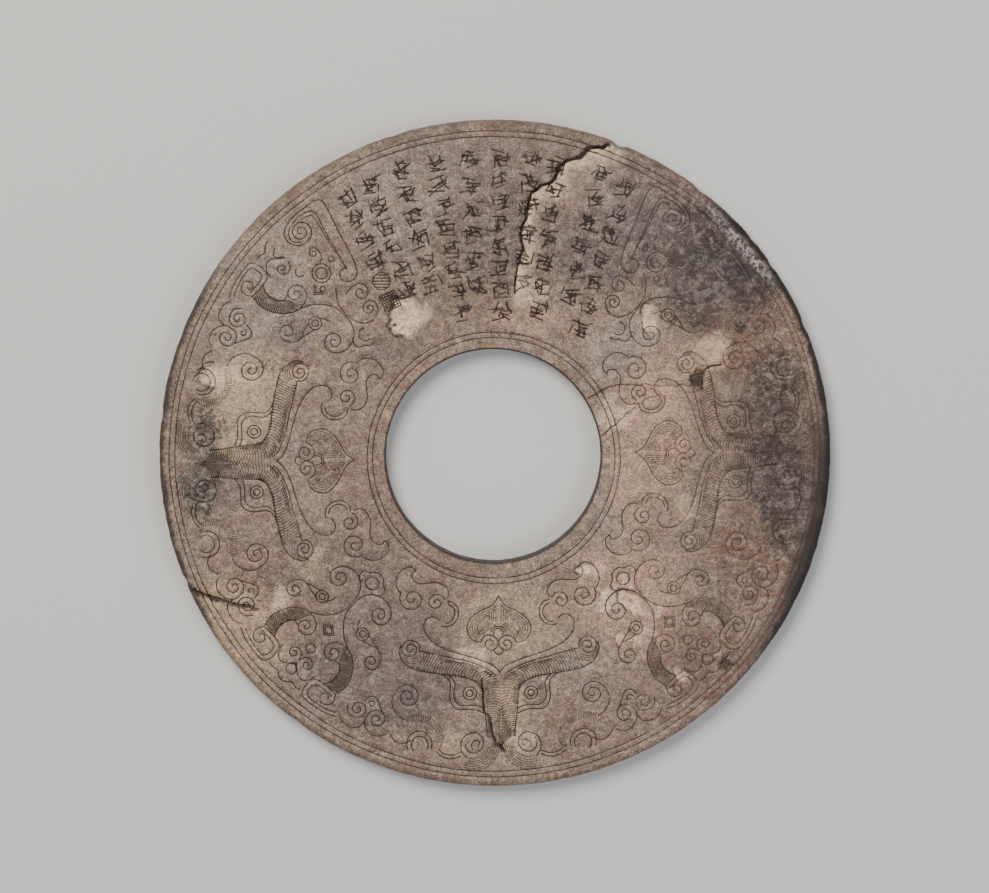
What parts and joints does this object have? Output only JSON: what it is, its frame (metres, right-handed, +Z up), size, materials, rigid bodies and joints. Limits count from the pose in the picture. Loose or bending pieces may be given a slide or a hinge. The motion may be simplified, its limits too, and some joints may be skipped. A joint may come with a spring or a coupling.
{
  "type": "jade bi disc",
  "caption": "Flat ritual ring of carved, altered jade with a wide round hole, line-engraved masks and scrolls, an inscribed sector, fissures and worn edges; it lies on its plain side.",
  "frame": {"origin": "on the surface that the disc lies on, under the middle of its outer circle", "axes": "+Z up through the thickness, out of the carved face; +Y towards the inscribed sector; +X to its right, seen from above"},
  "size_m": [0.2, 0.2, 0.0065],
  "materials": {
    "altered_jade": "altered nephrite, ground smooth and softly polished, brown-stained in the engraved lines and round the rim"
  },
  "bodies": {
    "root": {"jade_disc": "altered_jade"}
  },
  "joints": []
}
